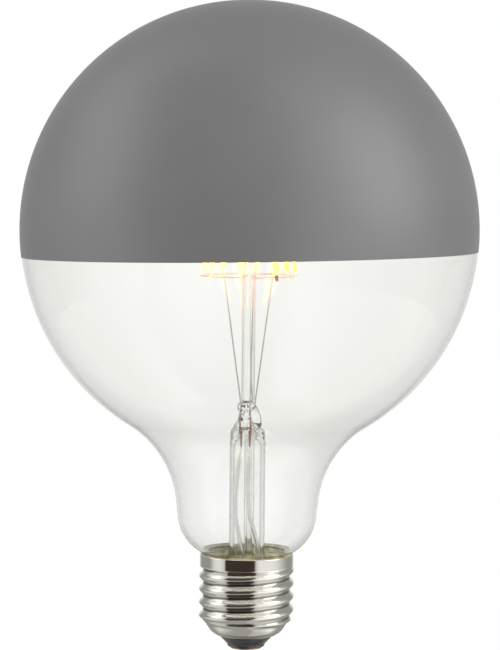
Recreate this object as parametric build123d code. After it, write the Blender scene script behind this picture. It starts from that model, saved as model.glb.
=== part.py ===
from build123d import *
import math
import os

# Globe lamp with a screw cap, in millimetres.
# The origin is at the tip of the centre contact, and +Z runs up the axis to the crown.

# Envelope
overall_height = 178.0
globe_diameter = 125.0
glass_wall = 0.8
neck_diameter = 38.8
neck_z = 40.0
neck_taper = 6.0
neck_fillet = 28.0
neck_straight = 0.3
shoulder_radius = 12.7
shoulder_z = 36.8
seal_diameter = 22.4
seal_z = 22.2

# Crown coat, whose dipped edge lies a little off square to the axis
coat_thickness = 0.1
coat_clearance = 0.05
crown_edge_drop = 6.45
crown_edge_tilt = 1.15

# Screw cap
thread_diameter = 26.1
thread_pitch = 3.629
thread_depth = 1.1
thread_start_z = 7.75
thread_turns = 4.6
ridge_base_width = 2.9
ridge_crest_width = 0.9
ridge_sink = 0.12
runout_start_z = 21.4
runout_end_z = 23.3
sheet = 0.35
rim_z = 26.6
band_z = 23.3
band_inset = 0.15
band_step = 0.8
collar_top_diameter = 22.2
collar_top_z = 7.3
ledge_height = 0.9
collar_foot_diameter = 19.4
collar_foot_z = 5.15
foot_diameter = 14.6
foot_z = 3.8
rim_clearance = 0.1

# Insulator, contact and solder
insulator_top_z = 5.0
insulator_waist_diameter = 10.5
insulator_waist_z = 1.7
insulator_tip_diameter = 10.0
insulator_edge = 0.4
contact_diameter = 8.6
contact_thickness = 0.45
contact_shank_diameter = 2.2
contact_shank_height = 1.8
solder_diameter = 5.6
solder_tip_diameter = 2.6
solder_height = 0.45

# Stem, exhaust tube and centre rod
stem_diameter = 9.8
stem_wall = 0.9
flare_height = 5.2
flare_diameter = 19.0
stem_shoulder_z = 60.2
stem_cavity_z = 59.2
cavity_rise = 1.0
press_offset = -0.75
press_width = 3.9
press_depth = 8.0
press_low_z = 63.0
press_high_z = 65.2
knob_width = 5.4
knob_depth = 6.6
knob_z = 67.2
knob_top_z = 68.6
exhaust_diameter = 2.7
exhaust_bore = 1.3
exhaust_offset = 0.5
exhaust_socket_z = 60.2
exhaust_tip_z = 13.6
exhaust_tip_length = 2.0
blow_hole_z = 62.6
blister_offset = 1.5
blister_root_diameter = 6.6
blister_waist_diameter = 3.5
blister_waist_z = 63.2
blister_tip_diameter = 2.2
blister_top_z = 68.0
rod_diameter = 3.7
button_diameter = 5.2
button_length = 4.4
button_chamfer = 0.9

# Wires of the mount
wire_diameter = 0.4
support_diameter = 0.4
seal_wire_diameter = 0.5
lead_diameter = 0.5
weld_gap = 0.02
seal_bottom_z = 57.2
seal_top_z = 66.2
support_foot_radius = 2.55
support_overshoot = 0.5
front_support_angle = 275.0
left_support_angle = 240.0
back_support_angle = 95.0
right_support_angle = 60.0
front_foot_angle = 282.0
left_foot_angle = 228.0
back_foot_angle = 102.0
right_foot_angle = 48.0
ring_split_angle = 89.5
ring_split = 7.0

# LED filaments, set round the rod and leaning in towards the top
filament_count = 8
first_filament_angle = -10.0
filament_lean = 9.4
lower_ring_apothem = 12.6
ring_drop = 12.3
strip_length = 33.0
strip_width = 1.7
strip_thickness = 1.2
strip_edge = 0.55
strip_inset = 1.0
tab_length = 2.6
tab_width = 0.9
tab_thickness = 0.25

# Driver in the cap
board_diameter = 22.2
board_thickness = 1.0
board_clearance = 0.1
board_hole_diameter = 1.2
capacitor_diameter = 5.0
capacitor_height = 7.0
capacitor_place = (6.6, 1.6)
capacitor_edge = 0.4
inductor_diameter = 5.6
inductor_height = 4.6
inductor_waist_diameter = 3.6
inductor_flange = 0.9
inductor_place = (-6.2, 4.2)
rectifier_size = (4.7, 3.9, 1.9)
rectifier_place = (1.8, 7.0)
chip_size = (4.9, 3.9, 1.5)
chip_place = (0.0, -7.4)
chip_edge = 0.3
resistor_diameter = 2.4
resistor_length = 6.0
resistor_place = (-6.6, -4.2)
resistor_lead_diameter = 0.5
resistor_lead_reach = 1.2
contact_wire_diameter = 0.8
shell_wire_diameter = 0.5
shell_wire_angle = 125.0
shell_wire_top_z = 16.5
shell_wire_run = 2.4

# Leads, from the seal wires down the stem to the board
sleeve_diameter = 1.2
sleeve_bore = 0.6
left_lead_bends = [(-1.9, -1.7, 55.6), (-3.1, -0.6, 44.0), (-3.2, -0.4, 37.0), (-1.5, -2.4, 28.5),
                   (-0.3, -3.1, 24.0), (-1.2, -4.4, 17.5)]
right_lead_bends = [(0.4, -2.5, 55.6), (-0.1, -2.6, 44.0), (0.7, -2.7, 37.0), (2.9, -1.4, 28.5),
                    (3.2, -1.5, 24.0), (4.4, -3.2, 17.5)]
left_pad = (-3.6, -6.2)
right_pad = (5.6, -4.6)
pad_rise = 2.5

# Worked out from the sizes above
globe_radius = globe_diameter / 2
globe_z = overall_height - coat_thickness - coat_clearance - globe_radius
seal_radius = seal_diameter / 2
thread_radius = thread_diameter / 2
band_radius = thread_radius - band_inset
root_radius = thread_radius - thread_depth
throat_radius = band_radius - sheet - rim_clearance
taper = math.radians(neck_taper)
stem_radius = stem_diameter / 2
flare_radius = flare_diameter / 2
rod_radius = rod_diameter / 2
wire_radius = wire_diameter / 2
lower_ring_z = globe_z - ring_drop
lean = math.radians(filament_lean)
ring_span = strip_length + 2 * strip_inset
upper_ring_apothem = lower_ring_apothem - ring_span * math.sin(lean)
upper_ring_z = lower_ring_z + ring_span * math.cos(lean)
filament_step = 360 / filament_count
support_angles = {"front": front_support_angle, "left": left_support_angle, "back": back_support_angle,
                  "right": right_support_angle}
support_foot_angles = {"front": front_foot_angle, "left": left_foot_angle, "back": back_foot_angle,
                       "right": right_foot_angle}


def at_angle(radius, degrees, z):
    """A point at this radius and angle round the axis."""
    turn = math.radians(degrees)
    return Vector(radius * math.cos(turn), radius * math.sin(turn), z)


def turned(*points):
    """The solid that a closed outline of radius and height pairs sweeps round the axis."""
    return revolve(Plane.XZ * make_face(Polyline(*points, close=True)), axis=Axis.Z)


def rod_between(start, end, diameter):
    """A straight round wire or rod."""
    line = Line(start, end)
    section = Plane(origin=line @ 0, z_dir=line % 0) * Circle(diameter / 2)
    return sweep(section, path=line)


def bent_wire(points, diameter):
    """A round wire bent at each point between its ends."""
    route = Polyline(*points)
    section = Plane(origin=route @ 0, z_dir=route % 0) * Circle(diameter / 2)
    return sweep(section, path=route, transition=Transition.RIGHT)


def radius_at(lower, upper, z):
    """The radius at height z on the straight outline between two points."""
    share = (z - lower[1]) / (upper[1] - lower[1])
    return lower[0] + share * (upper[0] - lower[0])


# Glass envelope

def arc_between(centre, radius, start, end):
    """An arc from one angle to another, in degrees."""
    return CenterArc(centre, radius, start, end - start)


def seal_points(inset):
    """The shoulder's centre, its angle at the throat, its lower end and the top of the straight seal."""
    foot_radius = neck_diameter / 2 - (neck_z - shoulder_z) * math.tan(taper)
    centre = Vector(foot_radius - shoulder_radius * math.cos(taper),
                    shoulder_z + shoulder_radius * math.sin(taper))
    throat = math.acos((throat_radius - centre.X) / shoulder_radius)
    low = centre + Vector(math.cos(throat), -math.sin(throat)) * (shoulder_radius - inset)
    seal_side = seal_radius - inset
    return centre, throat, low, Vector(seal_side, low.Y - (low.X - seal_side) / math.tan(throat))


def globe_body(inset):
    """The envelope's outer form, or the same form set in by the wall, as a full solid."""
    up = Vector(math.sin(taper), math.cos(taper))
    out = Vector(math.cos(taper), -math.sin(taper))
    ball = Vector(0, globe_z)
    neck = Vector(neck_diameter / 2, neck_z)

    # The fillet is no larger than leaves the neck a straight stretch above its shoulder.
    lowest = neck + up * ((shoulder_z + neck_straight - neck_z) / up.Y) - ball
    room = (lowest.dot(lowest) - globe_radius ** 2) / (2 * (globe_radius - lowest.dot(out)))
    fillet = min(neck_fillet, room)

    # Its centre lies one fillet radius off the neck's side and off the ball.
    start = neck + out * fillet - ball
    along = start.dot(up)
    reach = (globe_radius + fillet) ** 2
    slide = -along - math.sqrt(along ** 2 - start.dot(start) + reach)
    fillet_centre = ball + start + up * slide
    ball_angle = math.degrees(math.atan2((fillet_centre - ball).Y, (fillet_centre - ball).X))

    shoulder_centre, throat, throat_end, seal_top = seal_points(inset)
    crown = arc_between(ball, globe_radius - inset, ball_angle, 90)
    fillet_arc = arc_between(fillet_centre, fillet + inset, ball_angle + 180, 180 - neck_taper)
    shoulder = arc_between(shoulder_centre, shoulder_radius - inset, -neck_taper, -math.degrees(throat))
    bottom = seal_z - inset
    outline = [crown, fillet_arc, Line(fillet_arc @ 1, shoulder @ 0), shoulder,
               Polyline(shoulder @ 1, seal_top, (seal_top.X, bottom), (0, bottom), crown @ 1)]
    return revolve(Plane.XZ * make_face(Curve() + outline), axis=Axis.Z)


def make_globe():
    return globe_body(0) - globe_body(glass_wall)


def make_crown_coat():
    edge = -math.degrees(math.asin(crown_edge_drop / globe_radius))
    inner_radius = globe_radius + coat_clearance
    outer = arc_between((0, 0), inner_radius + coat_thickness, edge, 90)
    inner = arc_between((0, 0), inner_radius, edge, 90)
    outline = [outer, inner, Line(outer @ 0, inner @ 0), Line(outer @ 1, inner @ 1)]
    coat = revolve(Plane.XZ * make_face(Curve() + outline), axis=Axis.Z)
    return Pos(0, 0, globe_z) * Rot(0, -crown_edge_tilt, 0) * coat


# Wires of the mount

def nearest_flat(angle):
    """The angle of the filament whose straight stretch of ring holds this angle."""
    return first_filament_angle + filament_step * round((angle - first_filament_angle) / filament_step)


def ring_point(apothem, angle, z):
    """A point on a ring that is straight at each filament and bent between them."""
    off = math.radians(angle - nearest_flat(angle))
    return at_angle(apothem / math.cos(off), angle, z)


def wire_ring(apothem, z, start, end):
    """A ring wire from one angle to another, bent half way between filaments."""
    bend = nearest_flat(start) + filament_step / 2
    angles = [start]
    while bend < end:
        angles.append(bend)
        bend += filament_step
    angles.append(end)
    return bent_wire([ring_point(apothem, angle, z) for angle in angles], wire_diameter)


def ring_length(apothem, z, lengths, index):
    """One of the equal lengths of wire that a ring is bent from, with a split between their ends."""
    share = 360 / lengths
    start = ring_split_angle + share * index + ring_split / 2
    return wire_ring(apothem, z, start, start + share - ring_split)


def support_foot(name):
    return at_angle(support_foot_radius, support_foot_angles[name], seal_top_z)


def welded_start(weld, towards, diameter):
    """Where a wire starts that leaves a level weld at a slant, so that its end face just clears the weld."""
    run = towards - weld
    slant = math.hypot(run.X, run.Y) / abs(run.Z)
    return weld + run.normalized() * (slant * diameter / 2 + weld_gap)


def make_support(name):
    """A wire from the knob to the inside of the lower ring, where it is welded."""
    foot = support_foot(name)
    angle = support_angles[name]
    rise = lower_ring_z - seal_top_z
    slope = math.atan2(lower_ring_apothem - support_foot_radius, rise)
    gap = (wire_radius + support_diameter / 2 + weld_gap) / math.cos(slope)
    weld = ring_point(lower_ring_apothem, angle, lower_ring_z) - at_angle(gap, nearest_flat(angle), 0)
    end = weld + (weld - foot).normalized() * support_overshoot
    return rod_between(welded_start(foot, weld, support_diameter), end, support_diameter)


def make_seal_wire(name):
    foot = support_foot(name)
    return rod_between(Vector(foot.X, foot.Y, seal_bottom_z), foot, seal_wire_diameter)


def make_hub_wires():
    """Four spokes from the glass button out to the upper ring."""
    spokes = []
    for index in range(0, filament_count, 2):
        angle = first_filament_angle + filament_step * index
        inner = at_angle(rod_radius, angle, upper_ring_z)
        outer = at_angle(upper_ring_apothem - wire_radius, angle, upper_ring_z)
        spokes.append(rod_between(inner, outer, support_diameter))
    return spokes


# Stem, exhaust tube and rod

def make_stem(embedded):
    """The flared tube, closed at the top by the press, the knob and the blister of the blow hole."""
    inner = stem_radius - stem_wall
    flare_z = seal_z + flare_height
    rim_low = seal_z - stem_wall
    cavity_top = stem_cavity_z - stem_wall
    tube = turned((0, cavity_top), (inner, cavity_top - cavity_rise), (inner, flare_z - stem_wall),
                  (flare_radius, rim_low), (seal_radius, rim_low), (seal_radius, seal_z),
                  (flare_radius, seal_z), (stem_radius, flare_z), (stem_radius, stem_cavity_z),
                  (0, stem_cavity_z))

    press = Ellipse(press_width / 2, press_depth / 2)
    knob_top = Circle(max(rod_radius, support_foot_radius) + support_diameter / 2)
    top = loft([Pos(0, 0, stem_cavity_z) * Circle(stem_radius),
                Pos(0, 0, stem_shoulder_z) * Circle(stem_radius),
                Pos(press_offset, 0, press_low_z) * press,
                Pos(press_offset, 0, press_high_z) * press,
                Pos(0, 0, knob_z) * Ellipse(knob_width / 2, knob_depth / 2),
                Pos(0, 0, knob_top_z) * knob_top], ruled=True)
    tip = blister_tip_diameter / 2
    blister = turned((0, stem_cavity_z), (blister_root_diameter / 2, stem_cavity_z),
                     (blister_waist_diameter / 2, blister_waist_z), (tip, blister_top_z - tip),
                     (0, blister_top_z))
    blister = Pos(blister_offset, 0, 0) * blister

    # The blow hole leads from the side of the blister down into the exhaust tube.
    turn = (exhaust_offset, 0, blow_hole_z)
    tube_top = (exhaust_offset, 0, exhaust_socket_z)
    side_hole = rod_between(turn, (stem_diameter, 0, blow_hole_z), exhaust_bore)
    down_hole = rod_between(turn, tube_top, exhaust_bore)
    socket = rod_between(tube_top, (exhaust_offset, 0, seal_z), exhaust_diameter)
    return tube + top + blister - side_hole - down_hole - socket - embedded


def make_exhaust_tube():
    """A thin tube whose lower end was drawn out and sealed."""
    outer = exhaust_diameter / 2
    bore = exhaust_bore / 2
    tip_top = exhaust_tip_z + exhaust_tip_length
    bore_end = tip_top + exhaust_tip_length
    tube = turned((bore, exhaust_socket_z), (outer, exhaust_socket_z), (outer, tip_top),
                  (bore, exhaust_tip_z), (0, exhaust_tip_z), (0, tip_top), (bore, bore_end))
    return Pos(exhaust_offset, 0, 0) * tube


def make_centre_rod(spokes):
    """The rod on the knob, with a button at its end that holds the spokes."""
    button = button_diameter / 2
    low = upper_ring_z - button_length / 2
    high = upper_ring_z + button_length / 2
    rod = turned((0, knob_top_z), (rod_radius, knob_top_z), (rod_radius, low - button_chamfer),
                 (button, low + button_chamfer), (button, high - button_chamfer),
                 (button - button_chamfer, high), (0, high))
    return rod - spokes


# LED filaments

def filament_frame(index):
    """The frame of one filament: X across it, Y through it, Z up it, from the lower ring's level."""
    angle = first_filament_angle + filament_step * index
    stand_off = wire_radius + tab_thickness / 2
    radius = lower_ring_apothem + stand_off * math.cos(lean)
    origin = at_angle(radius, angle, lower_ring_z + stand_off * math.sin(lean))
    across = at_angle(1, angle + 90, 0)
    rise = at_angle(-math.sin(lean), angle, math.cos(lean))
    return Plane(origin=origin, x_dir=across, z_dir=rise)


def make_strip(index):
    section = Pos(0, 0, strip_inset) * RectangleRounded(strip_width, strip_thickness, strip_edge)
    return filament_frame(index) * extrude(section, strip_length)


def make_tabs(index):
    tab = Box(tab_width, tab_thickness, tab_length)
    low = strip_inset - tab_length / 2
    high = strip_inset + strip_length + tab_length / 2
    return [filament_frame(index) * Pos(0, 0, z) * tab for z in (low, high)]


# Screw cap

foot = (foot_diameter / 2, foot_z)
collar_foot = (collar_foot_diameter / 2, collar_foot_z)
collar_top = (collar_top_diameter / 2, collar_top_z)
root_low = (root_radius, collar_top_z + ledge_height)
root_high = (root_radius, band_z - band_step)
band_low = (band_radius, band_z)
rim = (band_radius, rim_z)


def inside(point):
    """The point of the sheet's inner side that lies behind a point of its outline."""
    return (point[0] - sheet, point[1] + sheet / 2)


def make_cap_shell():
    """The rolled screw shell: a thread ridge on a plain root, run out at both ends, and a plain bore."""
    root = turned((0, foot_z), foot, collar_foot, collar_top, root_low, root_high, band_low, rim, (0, rim_z))
    helix = Helix(thread_pitch, thread_pitch * thread_turns, root_radius)
    low = root_radius - ridge_sink
    base = ridge_base_width / 2
    crest = ridge_crest_width / 2
    section = make_face(Polyline((low, -base), (thread_radius, -crest), (thread_radius, crest), (low, base),
                                 close=True))
    ridge = Pos(0, 0, thread_start_z) * sweep(Plane.XZ * section, path=helix, is_frenet=True)
    fade = band_inset / (runout_end_z - runout_start_z)
    clear_radius = thread_radius + sheet
    entry_z = root_low[1] - root_radius + ridge_sink
    exit_z = runout_start_z + (thread_depth + sheet) / fade
    crest_limit = turned((0, entry_z), (clear_radius, entry_z + clear_radius),
                         (clear_radius, runout_start_z - sheet / fade), (root_radius - sheet, exit_z),
                         (0, exit_z))
    bore = turned((0, foot_z - sheet), (foot[0] - sheet, foot_z - sheet), inside(foot), inside(collar_foot),
                  inside(collar_top), inside(root_low), inside(root_high), inside(band_low),
                  (band_radius - sheet, rim_z + sheet), (0, rim_z + sheet))
    return root + (ridge & crest_limit) - bore


def make_insulator():
    """Black glass that fills the foot of the shell, with a hole for the contact's shank."""
    hole = contact_shank_diameter / 2
    tip = insulator_tip_diameter / 2
    tip_z = solder_height + contact_thickness
    top_radius = radius_at(inside(foot), inside(collar_foot), insulator_top_z)
    return turned((hole, tip_z), (tip - insulator_edge, tip_z), (tip, tip_z + insulator_edge),
                  (insulator_waist_diameter / 2, insulator_waist_z), foot, (foot[0] - sheet, foot_z),
                  inside(foot), (top_radius, insulator_top_z), (hole, insulator_top_z))


def make_contact():
    plate = contact_diameter / 2
    shank = contact_shank_diameter / 2
    top = solder_height + contact_thickness
    shank_top = top + contact_shank_height
    return turned((0, solder_height), (plate - contact_thickness / 2, solder_height), (plate, top),
                  (shank, top), (shank, shank_top), (0, shank_top))


def make_solder():
    base = solder_diameter / 2
    tip = solder_tip_diameter / 2
    return turned((0, 0), (tip, 0), ((base + tip) / 2, solder_height / 3), (base, solder_height),
                  (0, solder_height))


def make_cement():
    """The ring of cement between the glass and the shell."""
    throat_end, seal_top = seal_points(0)[2:]
    bore = root_radius - sheet
    wall = band_radius - sheet
    low = inside(root_high)[1]
    high = inside(band_low)[1]
    return turned((seal_radius, seal_z), (bore, seal_z), (bore, low), (wall, high), (wall, throat_end.Y),
                  throat_end, seal_top)


# Driver

ledge_low = inside(collar_top)
ledge_high = inside(root_low)
board_radius = board_diameter / 2
ledge_slope = (ledge_high[1] - ledge_low[1]) / (ledge_high[0] - ledge_low[0])
board_z = ledge_low[1] + (board_radius - ledge_low[0] + board_clearance) * ledge_slope
board_top = board_z + board_thickness


def on_board(place, solid):
    return Pos(place[0], place[1], board_top) * solid


def make_board():
    hole = Cylinder(board_hole_diameter / 2, 3 * board_thickness)
    board = Cylinder(board_radius, board_thickness, align=(Align.CENTER, Align.CENTER, Align.MIN))
    return Pos(0, 0, board_z) * (board - hole)


def make_capacitor():
    radius = capacitor_diameter / 2
    can = turned((0, 0), (radius, 0), (radius, capacitor_height - capacitor_edge),
                 (radius - capacitor_edge, capacitor_height), (0, capacitor_height))
    return on_board(capacitor_place, can)


def make_inductor():
    flange = inductor_diameter / 2
    waist = inductor_waist_diameter / 2
    drum = turned((0, 0), (flange, 0), (flange, inductor_flange), (waist, inductor_flange),
                  (waist, inductor_height - inductor_flange), (flange, inductor_height - inductor_flange),
                  (flange, inductor_height), (0, inductor_height))
    return on_board(inductor_place, drum)


def make_package(place, size):
    """A moulded component with bevelled top edges, on the board."""
    body = Box(*size, align=(Align.CENTER, Align.CENTER, Align.MIN))
    body = chamfer(body.faces().sort_by(Axis.Z)[-1].edges(), chip_edge)
    return on_board(place, body)


def make_resistor():
    """The fuse resistor, lying on the board with both leads bent down to it."""
    radius = resistor_diameter / 2
    half = resistor_length / 2
    reach = half + resistor_lead_reach
    body = rod_between((0, -half, radius), (0, half, radius), resistor_diameter)
    leads = [bent_wire([(0, side * half, radius), (0, side * reach, radius), (0, side * reach, 0)],
                       resistor_lead_diameter) for side in (-1, 1)]
    return on_board(resistor_place, body + leads)


def make_contact_wire():
    shank_top = solder_height + contact_thickness + contact_shank_height
    return rod_between((0, 0, shank_top), (0, 0, board_top), contact_wire_diameter)


def make_shell_wire():
    """From the board up to the inside of the shell, where it is welded."""
    bore = root_radius - sheet
    wall = bore - shell_wire_diameter / 2 - weld_gap
    pad = at_angle(wall - shell_wire_run, shell_wire_angle, board_top)
    above = pad + Vector(0, 0, shell_wire_run)
    bend = at_angle(wall, shell_wire_angle, board_top + 2 * shell_wire_run)
    top = at_angle(wall, shell_wire_angle, shell_wire_top_z)
    return bent_wire([pad, above, bend, top], shell_wire_diameter)


# Leads and sleeves

def lead_route(name, bends, pad):
    """From the weld at a seal wire's lower end, through the bends, down to the pad on the board."""
    foot_point = support_foot(name)
    weld = Vector(foot_point.X, foot_point.Y, seal_bottom_z)
    bend_points = [Vector(*point) for point in bends]
    pad_point = Vector(*pad, board_top)
    return [welded_start(weld, bend_points[0], lead_diameter), *bend_points,
            pad_point + Vector(0, 0, pad_rise), pad_point]


def make_sleeve(bends):
    route = [Vector(*point) for point in bends]
    return bent_wire(route, sleeve_diameter) - bent_wire(route, sleeve_bore)


# Every piece by the name of its node

hub_wires = make_hub_wires()
supports = {name: make_support(name) for name in support_angles}
seals = {"left": make_seal_wire("left"), "right": make_seal_wire("front")}
sealed_in = [*supports.values(), *seals.values()]

pieces = {
    "glass_globe": make_globe(),
    "crown_coat": make_crown_coat(),
    "stem_tube": make_stem(sealed_in),
    "exhaust_tube": make_exhaust_tube(),
    "centre_rod": make_centre_rod(hub_wires),
    "hub_wires": Compound(children=hub_wires),
    "upper_ring": ring_length(upper_ring_apothem, upper_ring_z, 1, 0),
    "lower_ring_left": ring_length(lower_ring_apothem, lower_ring_z, 2, 0),
    "lower_ring_right": ring_length(lower_ring_apothem, lower_ring_z, 2, 1),
    "seal_wire_left": seals["left"],
    "seal_wire_right": seals["right"],
    "lead_wire_left": bent_wire(lead_route("left", left_lead_bends, left_pad), lead_diameter),
    "lead_wire_right": bent_wire(lead_route("front", right_lead_bends, right_pad), lead_diameter),
    "lead_sleeve_left": make_sleeve(left_lead_bends),
    "lead_sleeve_right": make_sleeve(right_lead_bends),
    "cap_shell": make_cap_shell(),
    "cap_insulator": make_insulator(),
    "centre_contact": make_contact(),
    "contact_solder": make_solder(),
    "basing_cement": make_cement(),
    "driver_board": make_board(),
    "smoothing_capacitor": make_capacitor(),
    "drum_inductor": make_inductor(),
    "bridge_rectifier": make_package(rectifier_place, rectifier_size),
    "driver_chip": make_package(chip_place, chip_size),
    "fuse_resistor": make_resistor(),
    "contact_wire": make_contact_wire(),
    "shell_wire": make_shell_wire(),
}
for name, wire in supports.items():
    pieces["support_wire_" + name] = wire
for index in range(filament_count):
    pieces[f"led_filament_{index + 1}"] = make_strip(index)
    pieces[f"filament_tabs_{index + 1}"] = Compound(children=make_tabs(index))

os.makedirs("parts", exist_ok=True)
for name, piece in pieces.items():
    export_step(piece, f"parts/{name}.step")
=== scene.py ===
import math
import bmesh
import bpy
from mathutils import Matrix, Vector, noise


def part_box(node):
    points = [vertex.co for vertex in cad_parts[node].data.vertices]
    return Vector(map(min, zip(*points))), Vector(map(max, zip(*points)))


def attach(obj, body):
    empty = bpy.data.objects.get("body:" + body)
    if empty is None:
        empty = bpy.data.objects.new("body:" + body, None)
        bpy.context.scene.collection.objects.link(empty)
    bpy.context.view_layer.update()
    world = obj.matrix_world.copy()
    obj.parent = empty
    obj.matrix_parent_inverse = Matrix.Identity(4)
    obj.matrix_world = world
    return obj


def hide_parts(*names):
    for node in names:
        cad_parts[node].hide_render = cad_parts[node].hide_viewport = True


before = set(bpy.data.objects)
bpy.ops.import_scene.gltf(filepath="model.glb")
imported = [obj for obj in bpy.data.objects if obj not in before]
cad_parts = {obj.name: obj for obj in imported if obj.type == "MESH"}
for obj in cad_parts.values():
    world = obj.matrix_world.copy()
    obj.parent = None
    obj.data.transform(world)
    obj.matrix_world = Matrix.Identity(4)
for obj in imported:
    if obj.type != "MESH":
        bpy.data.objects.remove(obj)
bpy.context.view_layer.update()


def in_radians(*degrees):
    return [math.radians(angle) for angle in degrees]


# Sizes are in metres, written in millimetres times MM.
MM = 0.001

# Fineness of the meshes
ROUND_STEPS = 160
FINE_STEPS = 128
CEMENT_STEPS = 120
BEAD_STEPS = 96
SOLDER_STEPS = 72
CORNER_STEPS = 5
CORNER_SHARE = 0.45
QUARTER_STEPS = 8
THREAD_ROWS = 130
CLOSED_END_ROWS = 44
STRIP_CUTS = 84
MERGE_DISTANCE = 0.0005 * MM
SLIVER_LENGTH = 0.0002 * MM
SHARP_ANGLE = math.radians(38)
MELT_ANGLE = math.radians(70)

# Envelope, as blown
globe_low, globe_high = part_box("glass_globe")
globe_radius = (globe_high.x - globe_low.x) / 2
globe_centre = globe_high.z - globe_radius
seal_z = globe_low.z
glass_wall = 0.8 * MM
neck_radius = 19.4 * MM
neck_z = 40.0 * MM
neck_taper = math.radians(6.0)
neck_fillet = 28.0 * MM
shoulder_radius = 12.7 * MM
shoulder_z = 36.8 * MM
throat_radius = 12.45 * MM
seal_radius = 11.2 * MM

# Crown coat, with the slope of its edge in radians
coat_clearance = 0.05 * MM
coat_thickness = 0.1 * MM
crown_edge_drop = 6.45 * MM
crown_edge_tilt = math.radians(1.15)
crown_edge_slope = 0.002

# Screw cap
cap_low, cap_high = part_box("cap_shell")
thread_radius = (cap_high.x - cap_low.x) / 2
thread_depth = 1.1 * MM
thread_root = thread_radius - thread_depth
thread_pitch = 3.629 * MM
thread_start = 8.6 * MM
thread_enters = (7.6 * MM, 9.2 * MM)
crest_z_at_right = 18.64 * MM
band_inset = 0.15 * MM
band_rises = (22.5 * MM, 23.3 * MM)
rim_z = cap_high.z
curl_radius = 0.35 * MM
sheet = 0.35 * MM

# Collar below the thread: radius and height of its bends, in millimetres
collar_bends = [(6.95, 3.8), (8.1, 4.1), (9.7, 5.15), (10.6, 6.4), (11.1, 7.3)]
collar_top = 8.2 * MM
collar_round = 0.8 * MM

# Insulator bead: radius and height of its bends, in millimetres
insulator_bends = [(7.0, 4.0), (7.25, 3.75), (6.3, 2.75), (5.25, 1.7)]
insulator_top_radius = 8.7 * MM
insulator_foot_radius = 5.05 * MM
insulator_round = 0.5 * MM

# Centre contact and its solder
contact_shank = 1.1 * MM
contact_plate_thickness = 0.45 * MM
contact_round = 0.25 * MM
solder_radii = (1.3 * MM, 2.1 * MM, 2.8 * MM)
solder_rise = 0.15 * MM
solder_round = 0.5 * MM
solder_sag = 0.06
solder_lumps_per_metre = 900

# Cement ring
cement_gap = 0.02 * MM
cement_bend_z = band_rises[1] + 0.3 * MM
cement_slope = 0.7 * MM
cement_round = 0.1 * MM

# Stem tube
stem_radius = 4.9 * MM
stem_wall = 0.9 * MM
flare_height = 5.2 * MM
flare_reach = 10.3 * MM
cavity_top = 61.8 * MM
cavity_dome = 5.0 * MM
stem_guide_drops = (2.0 * MM, 1.0 * MM)

# Closed end of the stem: half width, half depth, shift to the side and height of its sections, in millimetres
closed_end = [(4.9, 4.9, 0.0, 58.6), (4.75, 4.8, 0.0, 60.0), (3.4, 4.3, -0.4, 62.0),
              (2.05, 4.0, -0.75, 63.4), (1.8, 3.8, -0.8, 64.8), (1.8, 3.4, -0.75, 65.6),
              (2.45, 3.2, -0.45, 66.7), (2.4, 3.0, -0.4, 67.6), (2.0, 2.4, -0.35, 68.25),
              (1.2, 1.3, -0.2, 68.6)]
knob_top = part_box("stem_tube")[1].z
knob_lumps = 0.34 * MM
knob_lumps_rise = (63.0 * MM, 66.0 * MM)
knob_lumps_per_metre = 620
pleat_count = 13
pleat_depth = 0.09 * MM
pleat_heights = (59.2 * MM, 60.8 * MM, 62.8 * MM)

# Blister beside the press
blister_half_sizes = (1.75 * MM, 1.9 * MM, 4.1 * MM)
blister_taper = 0.28
blister_lean = math.radians(-11)
blister_place = (1.75 * MM, 0, 64.4 * MM)

# Exhaust tube
exhaust_radius = 1.35 * MM
exhaust_bore = 0.65 * MM
exhaust_tip = 2.0 * MM
exhaust_bore_end = 2.0 * MM
exhaust_nose_radius = 0.7 * MM
exhaust_nose_rise = 0.2 * MM
exhaust_round = 1.5 * MM

# Rod and the button at its upper end
rod_radius = 1.85 * MM
rod_waist_drop = 5.4 * MM
rod_round = 0.9 * MM
button_rise = 1.6 * MM
button_rim_drop = 0.4 * MM
button_rim_inset = 1.4 * MM

# Routes of the leads in millimetres, from the seal wires down to the board
board_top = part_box("driver_board")[1].z / MM
left_lead = [(-1.71, -1.90, 57.2), (-1.9, -1.7, 55.6), (-3.1, -0.6, 44.0), (-3.2, -0.4, 37.0),
             (-1.5, -2.4, 28.5), (-0.3, -3.1, 24.0), (-1.2, -4.4, 17.5), (-3.6, -6.2, board_top + 2.5),
             (-3.6, -6.2, board_top)]
right_lead = [(0.53, -2.49, 57.2), (0.4, -2.5, 55.6), (-0.1, -2.6, 44.0), (0.7, -2.7, 37.0),
              (2.9, -1.4, 28.5), (3.2, -1.5, 24.0), (4.4, -3.2, 17.5), (5.6, -4.6, board_top + 2.5),
              (5.6, -4.6, board_top)]
lead_radius = 0.25 * MM
sleeve_radius = 0.6 * MM
sleeve_wall = 0.28 * MM
sleeve_top = left_lead[1][2] * MM

# Filaments
filament_count = 8
filament_step = math.tau / filament_count
first_filament_angle = math.radians(-10.0)
filament_lean = math.radians(9.4)
strip_length = 33.0 * MM
strip_width = 1.7 * MM
strip_depth = 1.2 * MM
strip_round = 0.42 * MM
strip_inset = 1.0 * MM
diode_pitch = 1.18 * MM
diode_swell = 0.03
tab_length = 2.6 * MM
tab_width = 0.9 * MM
tab_thickness = 0.25 * MM
tab_round = 0.06 * MM

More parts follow.
